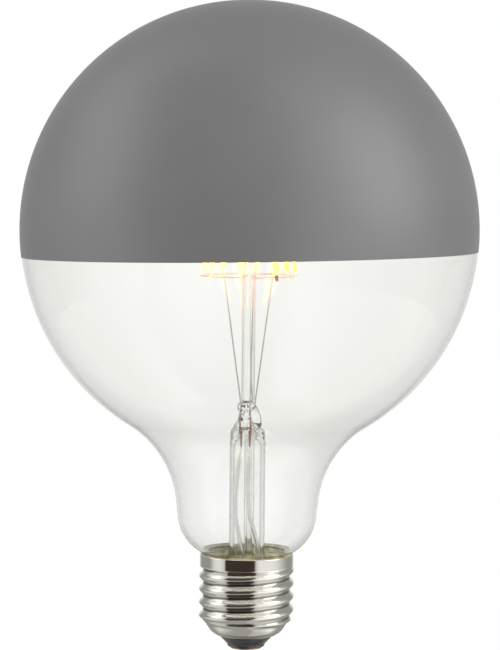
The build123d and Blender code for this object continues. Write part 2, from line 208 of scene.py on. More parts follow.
# Wire rings
ring_wire_radius = 0.2 * MM
lower_ring_apothem = 12.6 * MM
upper_ring_apothem = lower_ring_apothem - (strip_length + 2 * strip_inset) * math.sin(filament_lean)
lower_ring_z = (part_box("lower_ring_left")[0].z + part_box("lower_ring_left")[1].z) / 2
upper_ring_z = (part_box("upper_ring")[0].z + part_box("upper_ring")[1].z) / 2
ring_split_angle = math.radians(89.5)
ring_split = math.radians(7.0)
bend_reach = math.radians(7.0)

# Heights where a finish changes, and for a zone the softness of its ends
# The globe's painted edge shade is heavier below the first height and normal above the second.
globe_edge_shade_fades = (45.0 * MM, 75.0 * MM)
knob_pales = (67.2 * MM, 68.3 * MM)
# Painted warm light from the filaments on the rod's edges rises between these heights.
rod_warms = (80.0 * MM, 99.0 * MM)
# Painted warm light from the filaments on the mount and ring wires, between these heights.
warm_wire_light_zone = (98.0 * MM, 160.0 * MM, 8.0 * MM)
warm_ring_light_zone = (90.0 * MM, 160.0 * MM, 2.0 * MM)
red_seal_zone = (59.6 * MM, 62.4 * MM, 0.8 * MM)
brown_tab_zone = (lower_ring_z - 1.0 * MM, lower_ring_z + 0.6 * MM, 0.4 * MM)
sleeve_thins = (sleeve_top - 2.5 * MM, sleeve_top - 1.0 * MM)
# Painted shade in the thread's grooves starts between these heights.
groove_shade_enters = (thread_enters[0], thread_enters[1] + 0.6 * MM)

# Places from left to right, or out from the axis, where a finish changes
brown_tab_side = (6.0 * MM, 9.2 * MM, 1.0 * MM)
phosphor_deepens = (4.0 * MM, 7.0 * MM)
# The cement's painted glow brightens from left to right between these places.
cement_lightens = (-9.0 * MM, 2.0 * MM)
# The painted groove shade fades out between these distances from the axis.
groove_shade_ends = (thread_root + 0.02 * MM, thread_root + 0.18 * MM)

# Handling marks on metal: their depth, and how many fit across a dulled patch
mark_depth = 0.004 * MM
marks_per_patch = 8

# Camera, set by the photograph
camera_distance = 700.0 * MM
camera_height = 132.2 * MM
camera_side = 0.35 * MM
camera_near = 10.0 * MM
camera_lens = 141.85
camera_sensor = 36.0
camera_pitch = math.radians(3.489)
camera_roll = math.radians(0.521)

# Floor: its size, and where its whiteness and the shade below the bulb change, by distance from the origin
floor_drop = 60.0 * MM
floor_radius = 420.0 * MM
floor_whitens = (0.35 * floor_radius, 0.95 * floor_radius)
floor_shade_ends = (floor_drop + 5.0 * MM, floor_drop + 32.0 * MM)
floor_shade_strength = 0.6
floor_whiteness = 0.7

# Studio: angles round the bulb from the camera to the right, and the softness of a spread's ends in radians
right_panel_rises = in_radians(14, 34)
right_panel_falls = in_radians(62, 124)
left_panel_spread = (*in_radians(-92, -55), 0.22)
high_panel_spread = (*in_radians(-135, -92), 0.25)
opening_spread = (*in_radians(-54, 21), 0.02)
ceiling_spread = (*in_radians(-100, 14), 0.2)
floor_front_spread = (*in_radians(-54, 18), 0.14)
floor_sides_spread = (*in_radians(-122, 112), 0.35)
floor_bright_rises = in_radians(20, 40)

# Studio: parts of a direction of length 1, upwards, away from the camera and to the right, and strengths
left_panel_ends = (0.45, 0.70)
high_panel_starts = (0.35, 0.60)
opening_levels = (-0.62, 0.58, 0.05)
ceiling_starts = (0.66, 0.84)
backdrop_starts = (0.80, 1.04)
paler_strip = (-0.045, -0.008, 0.02)
greyer_strip = (0.03, 0.075, 0.015)
left_panel_strength = 0.85
ceiling_strength = 0.9

# Soft boxes: direction from the bulb and power
soft_box_distance = 1100.0 * MM
soft_box_size = (700.0 * MM, 900.0 * MM)
right_soft_box = ((0.860, -0.280, 0.426), 3.1)
left_soft_box = ((-0.888, -0.02, 0.461), 1.35)
glass_bounces = 32


# Node trees

class Socket:
    """An output socket whose arithmetic adds Math nodes to its own tree."""

    def __init__(self, tree, output):
        self.tree = tree
        self.output = output

    def maths(self, operation, first, second):
        return self.tree.add("Math", {"operation": operation}, {0: first, 1: second})

    def other(self, name):
        """Another output of the same node."""
        return Socket(self.tree, self.output.node.outputs[name])

    def __add__(self, other):
        return self.maths("ADD", self, other)

    def __sub__(self, other):
        return self.maths("SUBTRACT", self, other)

    def __rsub__(self, other):
        return self.maths("SUBTRACT", other, self)

    def __mul__(self, other):
        return self.maths("MULTIPLY", self, other)

    __radd__ = __add__
    __rmul__ = __mul__


class Tree:
    """A node tree, with one method that adds any node."""

    def __init__(self, owner):
        owner.use_nodes = True
        self.nodes = owner.node_tree.nodes
        self.links = owner.node_tree.links
        self.nodes.clear()

    def add(self, kind, settings=None, sockets=None, output=0):
        """A node of this kind, its settings first, then the values or links of its sockets."""
        node = self.nodes.new("ShaderNode" + kind)
        for name, value in (settings or {}).items():
            if name == "stops":
                self.set_stops(node.color_ramp.elements, value)
            else:
                setattr(node, name, value)
        for key, value in (sockets or {}).items():
            if isinstance(value, Socket):
                self.links.new(value.output, node.inputs[key])
            else:
                node.inputs[key].default_value = value
        return Socket(self, node.outputs[output] if len(node.outputs) else None)

    @staticmethod
    def set_stops(elements, stops):
        for index, (place, level) in enumerate(stops):
            element = elements[index] if index < len(elements) else elements.new(place)
            element.position = place
            element.color = (level, level, level, 1)

    def mix(self, factor, first, second):
        """A colour between two colours."""
        return self.add("Mix", {"data_type": "RGBA"}, {0: factor, 6: first, 7: second}, output=2)

    def blend(self, factor, first, second):
        """A shader between two shaders."""
        return self.add("MixShader", None, {0: factor, 1: first, 2: second})

    def place(self, scale=(1, 1, 1)):
        """The piece's own coordinates, in metres, scaled."""
        here = self.add("TexCoord", output="Object")
        return self.add("Mapping", None, {"Vector": here, "Scale": scale})

    def axes(self):
        """The first of the piece's own coordinates, with the others as its other outputs."""
        return self.add("SeparateXYZ", None, {0: self.place()})

    def height(self):
        return self.axes().other("Z")

    def reach(self, scale=(1, 1, 1)):
        """The distance from the origin, with the coordinates scaled."""
        return self.add("VectorMath", {"operation": "LENGTH"}, {0: self.place(scale)}, output="Value")

    def edge(self):
        """0 where the surface faces the eye, up to 1 where it turns away."""
        return self.add("LayerWeight", None, {"Blend": 0.5}, output="Facing")

    def grain(self, size, detail=3.0, scale=(1, 1, 1)):
        """Noise whose features are about this size, in metres."""
        return self.add("TexNoise", None, {"Vector": self.place(scale), "Scale": 1 / size, "Detail": detail})

    def ramp(self, value, *stops):
        return self.add("ValToRGB", {"stops": stops}, {0: value})

    def rise(self, value, start, end):
        """0 up to start, 1 from end on, and smooth between them."""
        return self.add("MapRange", {"interpolation_type": "SMOOTHSTEP"},
                        {"Value": value, "From Min": start, "From Max": end})

    def band(self, value, start, end, soft):
        """1 between start and end and 0 outside them, with soft ends."""
        return self.rise(value, start - soft, start + soft) - self.rise(value, end - soft, end + soft)

    def bump(self, height, depth):
        return self.add("Bump", None, {"Height": height, "Distance": depth})

    def surface(self, sockets):
        return self.add("BsdfPrincipled", None, sockets)

    def finish(self, shader, kind="OutputMaterial"):
        self.add(kind, None, {"Surface": shader})


def colour(red, green, blue):
    return (red, green, blue, 1.0)


def new_finish(name):
    material = bpy.data.materials.new(name)
    return material, Tree(material)


def turn_round(axes):
    """The angle round the upright axis, from the camera to the right."""
    return axes.maths("ARCTAN2", axes, axes.other("Y") * -1)


# Finishes

def glass_finish(name, clear, edge, shades, wave_size, wave_depth, edge_shade_low=None, upper=None):
    """Clear glass with painted shade along its edge. The painted edge shade may be heavier low down, and high
    up the edge may take another tint.
    """
    material, tree = new_finish(name)
    waves = tree.bump(tree.grain(wave_size, 1.0), wave_depth)
    weight = tree.ramp(tree.edge(), *shades)
    if edge_shade_low:
        share, low, high = edge_shade_low
        # painted shade: the edge darkens more below the given heights
        weight = weight * (1 + share * (1 - tree.rise(tree.height(), low, high)))
    if upper:
        upper_edge, low, high = upper
        # high up the edge tint changes: paler at the stem's knob, and on the rod a painted warm light from
        # the filaments
        edge = tree.mix(tree.rise(tree.height(), low, high), edge, upper_edge)
    tint = tree.mix(weight, clear, edge)
    tree.finish(tree.surface({"Base Color": tint, "Roughness": 0.0, "IOR": 1.5, "Transmission Weight": 1.0,
                              "Normal": waves}))
    return material


def crown_lacquer():
    """Satin grey lacquer with fine metal flake, a little uneven where it was dipped."""
    material, tree = new_finish("crown_lacquer")
    flake = tree.grain(0.22 * MM, 2.0)
    cloud = tree.grain(30 * MM, 2.0)
    shade = flake * 0.3 + cloud * 0.7
    base = tree.mix(shade, colour(0.190, 0.191, 0.195), colour(0.228, 0.229, 0.234))
    rough = tree.ramp(cloud, (0.3, 0.40), (0.7, 0.47))
    relief = tree.bump(flake, 0.012 * MM)
    tree.finish(tree.surface({"Base Color": base, "Roughness": rough, "Metallic": 0.25, "IOR": 1.5,
                              "Normal": relief}))
    return material


def crown_underside():
    """The back of the coat, seen through the glass: pale, with a painted glow standing for the filaments'
    light.
    """
    material, tree = new_finish("crown_underside")
    cloud = tree.grain(12 * MM, 3.0)
    base = tree.mix(cloud, colour(0.62, 0.61, 0.59), colour(0.72, 0.71, 0.69))
    # painted light: the glow stands for the filaments' light on the coat's back
    glow = tree.mix(cloud, colour(0.80, 0.76, 0.68), colour(0.88, 0.84, 0.76))
    tree.finish(tree.surface({"Base Color": base, "Roughness": 0.5, "Emission Color": glow,
                              "Emission Strength": 0.8}))
    return material


def metal_finish(name, light, dark, rough_low, rough_high, patch, zone=None, glow=0.0):
    """Metal with fine handling marks and dulled patches, and a tint between two heights; where glow is given,
    that tint glows as painted light.
    """
    material, tree = new_finish(name)
    marks = tree.grain(patch / marks_per_patch, 4.0)
    dulled = tree.grain(patch, 3.0)
    base = tree.mix(dulled, light, dark)
    rough = tree.ramp(dulled * 0.6 + marks * 0.4, (0.3, rough_low), (0.7, rough_high))
    sockets = {"Metallic": 1.0, "Roughness": rough, "Normal": tree.bump(marks, mark_depth)}
    if zone:
        tint, low, high, soft = zone
        zoned = tree.band(tree.height(), low, high, soft)
        # with glow, the zone is painted warm light from the filaments, as on the mount and ring wires
        base = tree.mix(zoned, base, tint)
        sockets["Emission Color"] = tree.mix(zoned, colour(0, 0, 0), tint)
        sockets["Emission Strength"] = glow
    sockets["Base Color"] = base
    tree.finish(tree.surface(sockets))
    return material


def cap_finish():
    """Bright nickel with fine handling marks and dulled patches, and painted shade in the grooves of the
    thread.
    """
    material, tree = new_finish("cap_nickel")
    marks = tree.grain(0.75 * MM, 4.0, (1, 1, 6))
    dulled = tree.grain(6 * MM, 3.0)
    from_axis = tree.reach((1, 1, 0))
    # painted shade darkening the roots of the thread
    groove = tree.rise(tree.height(), *groove_shade_enters) * (1 - tree.rise(from_axis, *groove_shade_ends))
    plated = tree.mix(dulled, colour(0.80, 0.785, 0.75), colour(0.74, 0.72, 0.68))
    base = tree.mix(groove, plated, colour(0.24, 0.225, 0.20))
    rough = tree.ramp(dulled * 0.6 + marks * 0.4, (0.3, 0.05), (0.7, 0.11))
    tree.finish(tree.surface({"Base Color": base, "Metallic": 1.0, "Roughness": rough,
                              "Normal": tree.bump(marks, mark_depth)}))
    return material


def tab_finish():
    """Plated tabs, pale and glowing with painted light from the filaments, and heat-browned at the lower ring
    on the right.
    """
    material, tree = new_finish("filament_tab_plate")
    marks = tree.grain(1 * MM, 3.0)
    axes = tree.axes()
    burnt = tree.band(axes, *brown_tab_side) * tree.band(axes.other("Z"), *brown_tab_zone)
    plated = tree.mix(marks, colour(0.80, 0.74, 0.64), colour(0.66, 0.58, 0.48))
    browned = tree.mix(marks, colour(0.46, 0.27, 0.20), colour(0.30, 0.17, 0.13))
    base = tree.mix(burnt, plated, browned)
    # painted light: the tabs glow as if lit by the filaments, only dimly where browned
    glow = tree.mix(burnt, colour(0.80, 0.70, 0.50), colour(0.04, 0.02, 0.01))
    rough = tree.ramp(marks, (0.3, 0.25), (0.7, 0.45))
    tree.finish(tree.surface({"Base Color": base, "Metallic": 1.0, "Roughness": rough, "Emission Color": glow,
                              "Emission Strength": 0.7}))
    return material


def moulded_finish(name, light, dark, roughness, grain_size, depth, coat=0.0):
    """A grained solid colour, for black glass, plastic, lacquer and ferrite."""
    material, tree = new_finish(name)
    grain = tree.grain(grain_size, 4.0)
    base = tree.mix(tree.ramp(grain, (0.35, 0.0), (0.65, 1.0)), light, dark)
    rough = tree.ramp(grain, (0.3, roughness - 0.06), (0.7, roughness + 0.06))
    relief = tree.bump(grain, depth)
    tree.finish(tree.surface({"Base Color": base, "Roughness": rough, "Coat Weight": coat, "Normal": relief}))
    return material


def phosphor_finish():
    """The lit phosphor of a filament, a deeper yellow to the right and soft along its edge."""
    material, tree = new_finish("filament_phosphor")
    grain = tree.grain(0.35 * MM, 3.0)
    pale = tree.mix(grain, colour(1.0, 0.80, 0.21), colour(1.0, 0.86, 0.27))
    deep = tree.mix(grain, colour(1.0, 0.72, 0.085), colour(1.0, 0.78, 0.125))
    glow = tree.mix(tree.rise(tree.axes(), *phosphor_deepens), pale, deep)
    relief = tree.bump(grain, 0.05 * MM)
    lit = tree.surface({"Base Color": colour(0.95, 0.70, 0.14), "Roughness": 0.65, "Emission Color": glow,
                        "Emission Strength": 2.6, "Normal": relief})
    rim = tree.rise(tree.edge(), 0.25, 0.85)
    tree.finish(tree.blend(rim * 0.85, lit, tree.add("BsdfTransparent")))
    return material


def cement_finish():
    """Baked olive cement, streaked where it was pressed in, with a painted glow for the filaments' light that
    is dimmer to the left as painted shade.
    """
    material, tree = new_finish("basing_cement_olive")
    streak = tree.ramp(tree.grain(2.6 * MM, 3.0, (1, 1, 2)), (0.38, 0.0), (0.62, 1.0))
    base = tree.mix(streak, colour(0.15, 0.135, 0.07), colour(0.10, 0.09, 0.045))
    lit = tree.mix(streak, colour(0.42, 0.385, 0.21), colour(0.13, 0.12, 0.055))
    shaded = tree.mix(streak, colour(0.19, 0.17, 0.08), colour(0.08, 0.07, 0.03))
    # painted light and shade: the glow is brighter to the right and dimmer to the left
    glow = tree.mix(tree.rise(tree.axes(), *cement_lightens), shaded, lit)
    relief = tree.bump(tree.grain(0.6 * MM, 4.0), 0.08 * MM)
    tree.finish(tree.surface({"Base Color": base, "Roughness": 0.75, "Emission Color": glow,
                              "Emission Strength": 1.0, "Normal": relief}))
    return material


def cap_inside():
    """The dull inner side of the shell, with a painted glow for the filaments' light down the stem."""
    material, tree = new_finish("cap_inside_dull")
    stain = tree.grain(2 * MM, 3.0)
    base = tree.mix(stain, colour(0.42, 0.39, 0.30), colour(0.30, 0.27, 0.19))
    # painted light: the glow stands for the filaments' light
    glow = tree.mix(stain, colour(0.54, 0.51, 0.31), colour(0.36, 0.34, 0.20))
    tree.finish(tree.surface({"Base Color": base, "Metallic": 0.6, "Roughness": 0.5, "Emission Color": glow,
                              "Emission Strength": 0.62}))
    return material


def sleeve_finish():
    """Thin clear tubing that has gone a little milky, with painted shade along its edges, thinned to nothing
    at its upper end.
    """
    material, tree = new_finish("lead_sleeve_clear")
    milky = tree.ramp(tree.grain(4 * MM, 2.0), (0.3, 0.02), (0.7, 0.07))
    # painted shade: the tube darkens toward its edges
    rim = tree.ramp(tree.edge(), (0.38, 0.0), (0.66, 1.0))
    tint = tree.mix(rim, colour(0.99, 0.99, 0.98), colour(0.20, 0.21, 0.20))
    clear = tree.surface({"Base Color": tint, "Roughness": 0.05, "IOR": 1.15, "Transmission Weight": 1.0})
    milk = tree.surface({"Base Color": colour(0.82, 0.82, 0.80), "Roughness": 0.4})
    tube = tree.blend(milky, clear, milk)
    thinned = tree.rise(tree.height(), *sleeve_thins)
    tree.finish(tree.blend(thinned, tube, tree.add("BsdfTransparent")))
    return material


finishes = {
    "globe": glass_finish("globe_glass", colour(0.985, 0.988, 0.976), colour(0.34, 0.36, 0.33),
                          ((0.0, 0.0), (0.3, 0.08), (0.55, 0.13), (0.82, 0.11), (1.0, 1.0)),
                          40 * MM, 0.02 * MM, edge_shade_low=(0.55, *globe_edge_shade_fades)),
    "stem": glass_finish("stem_glass", colour(0.985, 0.988, 0.98), colour(0.15, 0.16, 0.145),
                         ((0.0, 0.0), (0.42, 0.03), (0.53, 0.62), (0.75, 0.85), (1.0, 1.0)),
                         6 * MM, 0.015 * MM, upper=(colour(0.62, 0.63, 0.61), *knob_pales)),
    "exhaust": glass_finish("exhaust_glass", colour(0.985, 0.988, 0.98), colour(0.04, 0.045, 0.04),
                            ((0.0, 0.0), (0.3, 0.05), (0.5, 0.7), (1.0, 1.0)), 6 * MM, 0.015 * MM),
    # the rod's edges turn warm high up with painted light from the filaments
    "rod": glass_finish("rod_glass", colour(0.985, 0.985, 0.975), colour(0.30, 0.31, 0.30),
                        ((0.1, 0.0), (0.22, 0.36), (0.5, 0.55), (1.0, 1.0)),
                        6 * MM, 0.015 * MM, upper=(colour(0.85, 0.50, 0.29), *rod_warms)),
    "crown": crown_lacquer(),
    "underside": crown_underside(),
    # the upper mount and ring wires glow with painted warm light
    "mount_wire": metal_finish("mount_wire_nickel", colour(0.68, 0.66, 0.63), colour(0.48, 0.46, 0.44),
                               0.28, 0.42, 3 * MM, zone=(colour(0.94, 0.70, 0.56), *warm_wire_light_zone),
                               glow=0.36),
    "ring_wire": metal_finish("ring_wire_browned", colour(0.70, 0.53, 0.44), colour(0.52, 0.38, 0.31),
                              0.28, 0.42, 3 * MM, zone=(colour(0.82, 0.64, 0.52), *warm_ring_light_zone),
                              glow=0.2),
    "seal_wire": metal_finish("seal_wire_copper", colour(0.44, 0.41, 0.39), colour(0.30, 0.28, 0.27),
                              0.32, 0.48, 2 * MM, zone=(colour(0.56, 0.20, 0.15), *red_seal_zone)),
    "lead_wire": metal_finish("lead_wire_tinned", colour(0.97, 0.96, 0.94), colour(0.90, 0.89, 0.87),
                              0.20, 0.32, 3 * MM),
    "tab": tab_finish(),
    "cap": cap_finish(),
    "brass": metal_finish("contact_brass", colour(0.46, 0.29, 0.18), colour(0.32, 0.19, 0.12),
                          0.25, 0.45, 2 * MM),
    "solder": metal_finish("contact_solder_tin", colour(0.62, 0.52, 0.46), colour(0.44, 0.33, 0.28),
                           0.28, 0.5, 1.2 * MM),
    "insulator": moulded_finish("insulator_black_glass", colour(0.016, 0.016, 0.018),
                                colour(0.028, 0.028, 0.030), 0.18, 1.5 * MM, 0.03 * MM, coat=0.5),
    "cement": cement_finish(),
    "cap_inside": cap_inside(),
    "sleeve": sleeve_finish(),
    "phosphor": phosphor_finish(),
    "board": moulded_finish("board_green_mask", colour(0.03, 0.17, 0.07), colour(0.02, 0.12, 0.05),
                            0.35, 0.8 * MM, 0.01 * MM, coat=0.3),
    "capacitor": moulded_finish("capacitor_dark_sleeve", colour(0.02, 0.02, 0.035), colour(0.03, 0.03, 0.05),
                                0.3, 1.0 * MM, 0.01 * MM, coat=0.3),
    "ferrite": moulded_finish("inductor_ferrite", colour(0.05, 0.05, 0.05), colour(0.08, 0.075, 0.07),
                              0.7, 0.3 * MM, 0.03 * MM),
    "chip": moulded_finish("chip_mould", colour(0.022, 0.022, 0.024), colour(0.034, 0.034, 0.036),
                           0.5, 0.2 * MM, 0.02 * MM),
    "resistor": moulded_finish("resistor_lacquer", colour(0.18, 0.26, 0.21), colour(0.13, 0.20, 0.16),
                               0.4, 0.5 * MM, 0.02 * MM, coat=0.3),
}


# Modelling

def link(thing):
    bpy.context.scene.collection.objects.link(thing)


def as_object(name, shape):
    """A shape as a mesh object."""
    mesh = bpy.data.meshes.new(name)
    shape.to_mesh(mesh)
    shape.free()
    return bpy.data.objects.new(name, mesh)


def final_mesh(thing):
    """The mesh of a linked object as its curve or its modifiers make it."""
    bpy.context.view_layer.update()
    return bpy.data.meshes.new_from_object(thing.evaluated_get(bpy.context.evaluated_depsgraph_get()))


def add_piece(name, shape, finish, node):
    """A shape as a piece of the object, standing for a node."""
    return dress(as_object(name, shape), finish, node)


def dress(piece, finish, node):
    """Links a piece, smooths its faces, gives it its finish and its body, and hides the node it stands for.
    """
    link(piece)
    piece.data.materials.append(finishes[finish])
    piece.data.shade_smooth()
    piece.data.set_sharp_from_angle(angle=SHARP_ANGLE)
    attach(piece, "root")
    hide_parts(node)
    return piece


def in_metres(points):
    return [tuple(size * MM for size in point) for point in points]


def fade(value, start, end):
    """Rises smoothly from 0 at start to 1 at end."""
    share = min(max((value - start) / (end - start), 0), 1)
    return share * share * (3 - 2 * share)


def at_angle(radius, angle, z):
    return Vector((radius * math.cos(angle), radius * math.sin(angle), z))


def arc(centre, radius, start, end, steps):
    """Points of radius and height along an arc, by angle in radians."""
    points = []
    for index in range(steps + 1):
        angle = start + (end - start) * index / steps
        points.append((centre[0] + radius * math.cos(angle), centre[1] + radius * math.sin(angle)))
    return points


def quarter(start, end):
    """A quarter of an ellipse between two points of radius and height, level where it starts."""
    points = []
    for step in range(QUARTER_STEPS + 1):
        angle = math.pi / 2 * step / QUARTER_STEPS
        points.append((start[0] + (end[0] - start[0]) * math.sin(angle),
                       start[1] + (end[1] - start[1]) * (1 - math.cos(angle))))
    return points


def rounded(points, radius):
    """An outline with each of its inner corners rounded, as far as its two runs allow."""
    outline = [points[0]]
    for before, corner, after in zip(points, points[1:], points[2:]):
        corner = Vector(corner)
        back = Vector(before) - corner
        ahead = Vector(after) - corner
        reach = min(radius, back.length * CORNER_SHARE, ahead.length * CORNER_SHARE)
        start = corner + back.normalized() * reach
        end = corner + ahead.normalized() * reach
        for index in range(CORNER_STEPS + 1):
            share = index / CORNER_STEPS
            point = start * (1 - share) ** 2 + corner * (2 * share * (1 - share)) + end * share ** 2
            outline.append(tuple(point))
    outline.append(points[-1])
    return outline


def turned(outline, steps=ROUND_STEPS, closed=True):
    """An outline of radius and height pairs spun round the axis."""
    shape = bmesh.new()
    corners = [shape.verts.new((radius, 0, z)) for radius, z in outline]
    edges = [shape.edges.new(pair) for pair in zip(corners, corners[1:])]
    if closed:
        edges.append(shape.edges.new((corners[-1], corners[0])))
    bmesh.ops.spin(shape, geom=corners + edges, cent=(0, 0, 0), axis=(0, 0, 1), dvec=(0, 0, 0),
                   angle=math.tau, steps=steps, use_merge=True)
    tidy(shape)
    return shape


def tidy(shape):
    """Merges what meets and turns the faces outwards."""
    bmesh.ops.remove_doubles(shape, verts=shape.verts, dist=MERGE_DISTANCE)
    bmesh.ops.dissolve_degenerate(shape, edges=shape.edges, dist=SLIVER_LENGTH)
    bmesh.ops.recalc_face_normals(shape, faces=shape.faces)


def move(shape, offset):
    bmesh.ops.translate(shape, verts=shape.verts, vec=offset)


def round_edges(shape, radius, segments):
    bmesh.ops.bevel(shape, geom=shape.edges[:], offset=radius, segments=segments, profile=0.5,
                    affect="EDGES", material=-1)


def tilt(shape, angle):
    """Turns a shape about the Y axis."""
    bmesh.ops.rotate(shape, verts=shape.verts, cent=(0, 0, 0), matrix=Matrix.Rotation(angle, 3, "Y"))


def wire_curve(name, points, radius, capped=True):
    """A round wire bent smoothly along these points, as a mesh object."""
    curve = bpy.data.curves.new(name, "CURVE")
    curve.dimensions = "3D"
    curve.bevel_depth = radius
    curve.bevel_resolution = 4
    curve.resolution_u = 10
    curve.use_fill_caps = capped
    spline = curve.splines.new("NURBS")
    spline.points.add(len(points) - 1)
    for target, point in zip(spline.points, points):
        target.co = (*point, 1)
    spline.order_u = 3
    spline.use_endpoint_u = True
    bent = bpy.data.objects.new(name + "_line", curve)
    link(bent)
    mesh = final_mesh(bent)
    bpy.data.objects.remove(bent)
    bpy.data.curves.remove(curve)
    mesh.name = name
    return bpy.data.objects.new(name, mesh)


# Envelope and crown

def globe_wall(inset):
    """The wall's outline from the top of the globe down to the seal, set in from the outside."""
    up = Vector((math.sin(neck_taper), math.cos(neck_taper)))
    out = Vector((math.cos(neck_taper), -math.sin(neck_taper)))
    ball = Vector((0, globe_centre))
    start = Vector((neck_radius, neck_z)) + out * neck_fillet - ball
    along = start.dot(up)
    slide = -along - math.sqrt(along ** 2 - start.length_squared + (globe_radius + neck_fillet) ** 2)
    fillet_centre = ball + start + up * slide
    meet = math.atan2(fillet_centre.y - ball.y, fillet_centre.x)
    foot_radius = neck_radius - (neck_z - shoulder_z) * math.tan(neck_taper)
    shoulder = Vector((foot_radius, shoulder_z)) - out * shoulder_radius
    throat = math.acos((throat_radius - shoulder.x) / shoulder_radius)

    outline = arc(ball, globe_radius - inset, math.pi / 2, meet, steps=80)
    outline += arc(fillet_centre, neck_fillet + inset, meet + math.pi, math.pi - neck_taper, steps=26)
    outline += arc(shoulder, shoulder_radius - inset, -neck_taper, -throat, steps=16)
    low = outline[-1]
    side = seal_radius - inset
    seal_top = low[1] - (low[0] - side) / math.tan(throat)
    return outline + [(side, seal_top), (side, seal_z)]


def make_globe():
    outside = globe_wall(0)
    inside = globe_wall(glass_wall)
    outside[0] = (0, outside[0][1])
    inside[0] = (0, inside[0][1])
    shape = turned(outside + inside[::-1], closed=False)
    add_piece("globe_glass", shape, "globe", "glass_globe")


def make_crown():
    """The coat on the outside of the glass, thinned to a soft edge."""
    inner = globe_radius + coat_clearance
    outer = inner + coat_thickness
    edge = -math.asin(crown_edge_drop / globe_radius)
    outside = arc((0, 0), outer, math.pi / 2, edge + crown_edge_slope, steps=90)
    inside = arc((0, 0), inner, edge, math.pi / 2, steps=90)
    lip = [((outer + inner) / 2 * math.cos(edge), (outer + inner) / 2 * math.sin(edge))]
    outside[0] = (0, outer)
    inside[-1] = (0, inner)
    shape = turned(outside + lip + inside, closed=False)
    tilt(shape, -crown_edge_tilt)
    move(shape, (0, 0, globe_centre))
    coat = add_piece("crown_lacquer_coat", shape, "crown", "crown_coat")
    coat.data.materials.append(finishes["underside"])
    middle = Vector((0, 0, globe_centre))
    for face in coat.data.polygons:
        face.material_index = 1 if face.normal.dot(face.center - middle) < 0 else 0


# Cap

def thread_height(point):
    """How far the rolled thread stands out at a point of the shell, from 0 at the root to 1 on the crest."""
    turn = math.atan2(point.y, point.x) / math.tau
    phase = (point.z - crest_z_at_right) / thread_pitch - turn
    return 0.5 + 0.5 * math.cos(math.tau * phase)


def make_cap_shell():
    """The rolled sheet: a collar, a thread that comes up out of it, a plain band and a curled rim."""
    band = thread_depth - band_inset
    outline = rounded(in_metres(collar_bends) + [(thread_root, collar_top), (thread_root, thread_start)],
                      collar_round)
    end = rim_z - curl_radius
    rise = (end - thread_start) / THREAD_ROWS
    outline += [(thread_root, thread_start + rise * row) for row in range(1, THREAD_ROWS + 1)]
    outline += arc((thread_root - curl_radius, end), curl_radius, math.pi / 8, math.pi / 2, steps=3)
    shape = turned(outline, closed=False)
    for vert in shape.verts:
        thread = thread_depth * thread_height(vert.co) * fade(vert.co.z, *thread_enters)
        plain = band * fade(vert.co.z, *band_rises)
        if vert.co.z > band_rises[1]:
            thread = min(thread, plain)
        lift = max(thread, plain)
        radius = math.hypot(vert.co.x, vert.co.y)
        vert.co.x *= 1 + lift / radius
        vert.co.y *= 1 + lift / radius
    bmesh.ops.recalc_face_normals(shape, faces=shape.faces)
    piece = add_piece("screw_shell", shape, "cap", "cap_shell")
    thickness = piece.modifiers.new("sheet", "SOLIDIFY")
    thickness.thickness = sheet
    thickness.offset = -1
    thickness.material_offset = 1
    piece.data.materials.append(finishes["cap_inside"])


def make_insulator():
    low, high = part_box("cap_insulator")
    outline = [(contact_shank, high.z), (insulator_top_radius, high.z)] + in_metres(insulator_bends)
    outline += [(insulator_foot_radius, low.z), (contact_shank, low.z)]
    shape = turned(rounded(outline, insulator_round), BEAD_STEPS)
    add_piece("insulator_bead", shape, "insulator", "cap_insulator")


def make_contact():
    low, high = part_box("centre_contact")
    plate = (high.x - low.x) / 2
    under = low.z + contact_plate_thickness
    outline = [(0, low.z), (plate, low.z), (plate, under), (contact_shank, under), (contact_shank, high.z),
               (0, high.z)]
    shape = turned(rounded(outline, contact_round), BEAD_STEPS, closed=False)
    add_piece("contact_plate", shape, "brass", "centre_contact")


def make_solder():
    """A blob of solder, set a little uneven."""
    low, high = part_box("contact_solder")
    tip, side, foot = solder_radii
    outline = [(0, low.z), (tip, low.z), (side, low.z + solder_rise), (foot, high.z), (0, high.z)]
    shape = turned(rounded(outline, solder_round), SOLDER_STEPS, closed=False)
    for vert in shape.verts:
        swell = 1 - solder_sag * (1 + noise.noise(vert.co * solder_lumps_per_metre))
        vert.co.x *= swell
        vert.co.y *= swell
    add_piece("solder_blob", shape, "solder", "contact_solder")


def make_cement():
    """Baked cement between the glass and the shell."""
    low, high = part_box("basing_cement")
    glass = seal_radius + cement_gap
    bore = thread_root - sheet - cement_gap
    wall = thread_radius - band_inset - sheet - cement_gap
    outline = [(glass, low.z), (bore, low.z), (bore, band_rises[0]), (wall, cement_bend_z), (wall, high.z),
               (throat_radius, high.z), (glass, high.z - cement_slope)]
    shape = turned(rounded(outline, cement_round), CEMENT_STEPS)
    add_piece("cement_ring", shape, "cement", "basing_cement")


# Glass mount

def end_section(z):
    """The half width, half depth and shift of the stem's closed end at a height."""
    height = min(max(z / MM, closed_end[0][3]), closed_end[-1][3])
    for lower, upper in zip(closed_end, closed_end[1:]):
        if height <= upper[3]:
            share = fade(height, lower[3], upper[3])
            return [(start + (end - start) * share) * MM for start, end in zip(lower[:3], upper[:3])]


def stem_relief(point):
    """How far the lumps of the knob and the pleats of the press stand out at a point."""
    lump = knob_lumps * fade(point.z, *knob_lumps_rise) * noise.noise(point * knob_lumps_per_metre)
    low, middle, high = pleat_heights
    folded = fade(point.z, low, middle) * (1 - fade(point.z, middle, high))
    return lump + pleat_depth * folded * math.cos(pleat_count * math.atan2(point.y, point.x))


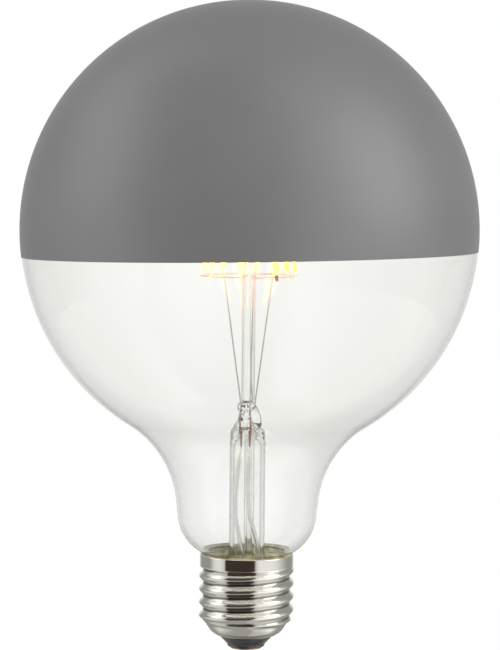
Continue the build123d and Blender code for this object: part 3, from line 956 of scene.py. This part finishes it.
def make_stem():
    """The flared tube with its cavity, drawn in at the top to the press and the knob."""
    rim_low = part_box("stem_tube")[0].z
    rim_high = rim_low + stem_wall
    inner = stem_radius - stem_wall
    start = closed_end[0][3] * MM
    end = closed_end[-1][3] * MM
    heights = [start + (end - start) * row / CLOSED_END_ROWS for row in range(CLOSED_END_ROWS + 1)]
    outline = quarter((0, cavity_top), (inner, cavity_top - cavity_dome))
    outline += quarter((flare_reach, rim_low), (inner, rim_low + flare_height))[::-1]
    outline += [(seal_radius, rim_low), (seal_radius, rim_high)]
    outline += quarter((flare_reach, rim_high), (stem_radius, rim_high + flare_height))
    outline += [(stem_radius, start - drop) for drop in stem_guide_drops]
    outline += [(end_section(z)[1], z) for z in heights] + [(0, knob_top)]
    shape = turned(outline, FINE_STEPS, closed=False)
    for vert in shape.verts:
        outside = math.hypot(vert.co.x, vert.co.y) > inner or vert.co.z > cavity_top
        if vert.co.z > start and outside:
            wide, deep, shift = end_section(vert.co.z)
            lump = stem_relief(vert.co)
            vert.co.x = vert.co.x * (wide + lump) / deep + shift
            vert.co.y *= 1 + lump / deep
    stem = add_piece("stem_glass", shape, "stem", "stem_tube")
    fuse(stem, blister())


def blister():
    """The rounded bulge beside the press, left where the tube was blown through."""
    shape = bmesh.new()
    bmesh.ops.create_uvsphere(shape, u_segments=40, v_segments=24, radius=1.0)
    half_width, half_depth, half_height = blister_half_sizes
    for vert in shape.verts:
        spread = 1 - blister_taper * vert.co.z
        vert.co.x *= half_width * spread
        vert.co.y *= half_depth * spread
        vert.co.z *= half_height
    tilt(shape, blister_lean)
    move(shape, blister_place)
    return shape


def fuse(piece, shape):
    """Joins a second closed form to a piece, as melted glass joins."""
    other = as_object("melt", shape)
    link(other)
    join = piece.modifiers.new("melt", "BOOLEAN")
    join.operation = "UNION"
    join.solver = "EXACT"
    join.object = other
    whole = final_mesh(piece)
    piece.modifiers.clear()
    piece.data = whole
    whole.shade_smooth()
    whole.set_sharp_from_angle(angle=MELT_ANGLE)
    bpy.data.objects.remove(other)


def make_exhaust_tube():
    low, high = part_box("exhaust_tube")
    tip = low.z + exhaust_tip
    outline = [(0, tip), (exhaust_bore, tip + exhaust_bore_end)]
    outline += rounded([(exhaust_bore, high.z), (exhaust_radius, high.z), (exhaust_radius, tip),
                        (exhaust_nose_radius, low.z + exhaust_nose_rise), (0, low.z)], exhaust_round)
    shape = turned(outline, FINE_STEPS, closed=False)
    move(shape, ((low.x + high.x) / 2, 0, 0))
    add_piece("exhaust_glass", shape, "exhaust", "exhaust_tube")


def make_rod():
    low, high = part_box("centre_rod")
    button = (high.x - low.x) / 2
    waist = high.z - rod_waist_drop
    outline = [(0, low.z), (rod_radius, low.z), (rod_radius, waist), (button, waist + button_rise),
               (button, high.z - button_rim_drop), (button - button_rim_inset, high.z), (0, high.z)]
    shape = turned(rounded(outline, rod_round), FINE_STEPS, closed=False)
    add_piece("rod_glass", shape, "rod", "centre_rod")


# Wires

def make_lead(side, points):
    """A tinned lead and the clear sleeve that covers its middle."""
    route = [Vector(point) * MM for point in points]
    lead = wire_curve(f"tinned_lead_{side}", route, lead_radius)
    dress(lead, "lead_wire", f"lead_wire_{side}")
    sleeve = wire_curve(f"clear_sleeve_{side}", route[1:-2], sleeve_radius, capped=False)
    dress(sleeve, "sleeve", f"lead_sleeve_{side}")
    wall = sleeve.modifiers.new("wall", "SOLIDIFY")
    wall.thickness = sleeve_wall
    wall.offset = -1


def ring_point(apothem, angle, z):
    """A point on a ring that is straight at each filament and bent between them."""
    flat = first_filament_angle + filament_step * round((angle - first_filament_angle) / filament_step)
    return at_angle(apothem / math.cos(angle - flat), angle, z)


def make_ring(name, node, apothem, z, lengths, index):
    """One of the equal lengths of wire that a ring is bent from."""
    share = math.tau / lengths
    start = ring_split_angle + share * index + ring_split / 2
    end = start + share - ring_split
    first_bend = first_filament_angle + filament_step / 2
    angles = [start]
    for turn in range(2 * filament_count):
        bend = first_bend + filament_step * turn
        angles += [angle for angle in (bend - bend_reach, bend, bend + bend_reach) if start < angle < end]
    points = [ring_point(apothem, angle, z) for angle in angles + [end]]
    dress(wire_curve(name, points, ring_wire_radius), "ring_wire", node)


# Filaments

def filament_frame(index):
    """The frame of one filament: X across it, Y through it, Z up it."""
    angle = first_filament_angle + filament_step * index
    stand_off = ring_wire_radius + tab_thickness / 2
    origin = at_angle(lower_ring_apothem + stand_off * math.cos(filament_lean), angle,
                      lower_ring_z + stand_off * math.sin(filament_lean))
    across = at_angle(1, angle + math.pi / 2, 0)
    rise = at_angle(-math.sin(filament_lean), angle, math.cos(filament_lean))
    through = rise.cross(across)
    turn = Matrix((across, through, rise)).transposed().to_4x4()
    return Matrix.Translation(origin) @ turn


def make_filament(index):
    """A strip of diodes under a lens of phosphor, with rounded ends and small swellings over the diodes."""
    number = index + 1
    shape = bmesh.new()
    bmesh.ops.create_cube(shape, size=1.0)
    bmesh.ops.scale(shape, verts=shape.verts, vec=(strip_width, strip_depth, strip_length))
    round_edges(shape, strip_round, segments=5)
    along = [edge for edge in shape.edges
             if abs(edge.verts[0].co.z - edge.verts[1].co.z) > strip_length / 2]
    bmesh.ops.subdivide_edges(shape, edges=along, cuts=STRIP_CUTS, use_grid_fill=True)
    for vert in shape.verts:
        swell = 1 - diode_swell * (1 - math.cos(math.tau * vert.co.z / diode_pitch))
        vert.co.x *= swell
        vert.co.y *= swell
    move(shape, (0, 0, strip_inset + strip_length / 2))
    bmesh.ops.transform(shape, matrix=filament_frame(index), verts=shape.verts)
    add_piece(f"phosphor_strip_{number}", shape, "phosphor", f"led_filament_{number}")


def make_tabs(index):
    number = index + 1
    shape = bmesh.new()
    for middle in (strip_inset - tab_length / 2, strip_inset + strip_length + tab_length / 2):
        tab = bmesh.ops.create_cube(shape, size=1.0)["verts"]
        bmesh.ops.scale(shape, verts=tab, vec=(tab_width, tab_thickness, tab_length))
        bmesh.ops.translate(shape, verts=tab, vec=(0, 0, middle))
    round_edges(shape, tab_round, segments=2)
    bmesh.ops.transform(shape, matrix=filament_frame(index), verts=shape.verts)
    add_piece(f"end_tabs_{number}", shape, "tab", f"filament_tabs_{number}")


# Stage

def make_world():
    """White to the camera, a little uneven through glass, and in reflections a dim room with pale panels."""
    world = bpy.data.worlds.new("studio")
    bpy.context.scene.world = world
    tree = Tree(world)
    rays = tree.add("LightPath")
    axes = tree.add("SeparateXYZ", None, {0: tree.add("TexCoord", output="Generated")})
    turn = turn_round(axes)
    level = axes.other("Z")

    backdrop = tree.rise(axes.other("Y"), *backdrop_starts)
    right_panel = tree.rise(turn, *right_panel_rises) * (1 - tree.rise(turn, *right_panel_falls))
    left_panel = tree.band(turn, *left_panel_spread) * (1 - tree.rise(level, *left_panel_ends))
    high_panel = tree.band(turn, *high_panel_spread) * tree.rise(level, *high_panel_starts)
    opening = tree.band(turn, *opening_spread) * tree.band(level, *opening_levels)
    ceiling = tree.rise(level, *ceiling_starts) * tree.band(turn, *ceiling_spread)
    pale = right_panel + left_panel * left_panel_strength + high_panel + backdrop
    room = tree.mix(pale, colour(0.36, 0.355, 0.345), colour(1, 0.99, 0.97))
    shown = tree.mix(opening + ceiling * ceiling_strength, room, colour(0.05, 0.035, 0.026))
    paler = tree.mix(tree.band(axes, *paler_strip), colour(1, 1, 1), colour(1.05, 1.05, 1.055))
    uneven = tree.mix(tree.band(axes, *greyer_strip), paler, colour(0.95, 0.95, 0.95))

    white = tree.add("Background", None, {"Color": colour(1, 1, 1), "Strength": 1.0})
    behind = tree.add("Background", None, {"Color": uneven, "Strength": 1.0})
    fill = tree.add("Background", None, {"Color": colour(1, 1, 1), "Strength": 0.96})
    mirrored = tree.add("Background", None, {"Color": shown, "Strength": 1.0})
    lit = tree.blend(rays.other("Is Glossy Ray"), fill, mirrored)
    unseen = tree.blend(rays.other("Is Transmission Ray"), lit, behind)
    tree.finish(tree.blend(rays.other("Is Camera Ray"), unseen, white), "OutputWorld")


def make_soft_box(name, direction, power):
    """A large soft lamp that faces the bulb."""
    light = bpy.data.lights.new(name, "AREA")
    light.shape = "RECTANGLE"
    light.size, light.size_y = soft_box_size
    light.energy = power
    lamp = bpy.data.objects.new(name, light)
    aim = Vector((0, 0, globe_centre))
    lamp.location = aim + Vector(direction).normalized() * soft_box_distance
    lamp.rotation_euler = (aim - lamp.location).to_track_quat("-Z", "Y").to_euler()
    lamp.visible_transmission = False
    link(lamp)


def floor_finish():
    """White to the eye but for a faint shadow. In reflections it shows a painted pattern: pale at the sides,
    dark in front, and painted shade below the bulb.
    """
    material, tree = new_finish("floor_white")
    rays = tree.add("LightPath")
    seen = rays.other("Is Camera Ray") + rays.other("Is Transmission Ray")
    reach = tree.reach()
    away = tree.rise(reach, *floor_whitens)
    # painted shade below the bulb, seen only in reflections
    under = 1 - tree.rise(reach, *floor_shade_ends)
    turn = turn_round(tree.axes())
    front = tree.band(turn, *floor_front_spread)
    sides = tree.band(turn, *floor_sides_spread)
    bright = tree.mix(tree.rise(turn, *floor_bright_rises), colour(0.86, 0.86, 0.82), colour(1.3, 1.29, 1.24))
    pale = tree.mix(sides, colour(0.36, 0.35, 0.33), bright)
    dark = colour(0.10, 0.088, 0.074)
    shade = tree.mix(under * floor_shade_strength, tree.mix(front * (1 - under), pale, dark), dark)

    bare = tree.surface({"Base Color": colour(0.90, 0.90, 0.90), "Roughness": 0.8})
    white = tree.add("Emission", None, {"Color": colour(1, 1, 1), "Strength": 1.0})
    mirrored = tree.add("Emission", None, {"Color": shade, "Strength": 1.0})
    lit = tree.blend(rays.other("Is Glossy Ray"), bare, mirrored)
    tree.finish(tree.blend(seen * (floor_whiteness + (1 - floor_whiteness) * away), lit, white))
    return material


def make_floor():
    """A round floor some way below the held bulb."""
    shape = bmesh.new()
    bmesh.ops.create_circle(shape, cap_ends=True, segments=96, radius=floor_radius)
    move(shape, (0, 0, -floor_drop))
    floor = as_object("floor", shape)
    link(floor)
    floor.data.materials.append(floor_finish())


def make_camera():
    view = bpy.data.cameras.new("camera")
    view.sensor_fit = "VERTICAL"
    view.sensor_height = camera_sensor
    view.lens = camera_lens
    view.clip_start = camera_near
    camera = bpy.data.objects.new("camera", view)
    camera.matrix_world = (Matrix.Translation((camera_side, -camera_distance, camera_height))
                           @ Matrix.Rotation(math.pi / 2 - camera_pitch, 4, "X")
                           @ Matrix.Rotation(camera_roll, 4, "Z"))
    link(camera)
    bpy.context.scene.camera = camera


# Finishes of the nodes that keep their own shape
node_finishes = {
    "mount_wire": ["hub_wires", "support_wire_front", "support_wire_left", "support_wire_back",
                   "support_wire_right"],
    "seal_wire": ["seal_wire_left", "seal_wire_right"],
    "lead_wire": ["contact_wire", "shell_wire"],
    "board": ["driver_board"],
    "capacitor": ["smoothing_capacitor"],
    "ferrite": ["drum_inductor"],
    "chip": ["bridge_rectifier", "driver_chip"],
    "resistor": ["fuse_resistor"],
}
for finish, names in node_finishes.items():
    for name in names:
        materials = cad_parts[name].data.materials
        materials.clear()
        materials.append(finishes[finish])

make_globe()
make_crown()
make_cap_shell()
make_insulator()
make_contact()
make_solder()
make_cement()
make_stem()
make_exhaust_tube()
make_rod()
make_lead("left", left_lead)
make_lead("right", right_lead)
make_ring("lower_ring_wire_left", "lower_ring_left", lower_ring_apothem, lower_ring_z, 2, 0)
make_ring("lower_ring_wire_right", "lower_ring_right", lower_ring_apothem, lower_ring_z, 2, 1)
make_ring("upper_ring_wire", "upper_ring", upper_ring_apothem, upper_ring_z, 1, 0)
for index in range(filament_count):
    make_filament(index)
    make_tabs(index)

make_world()
make_soft_box("right_soft_box", *right_soft_box)
make_soft_box("left_soft_box", *left_soft_box)
make_floor()
make_camera()

scene = bpy.context.scene
scene.view_settings.view_transform = "Standard"
scene.cycles.max_bounces = glass_bounces
scene.cycles.transmission_bounces = glass_bounces
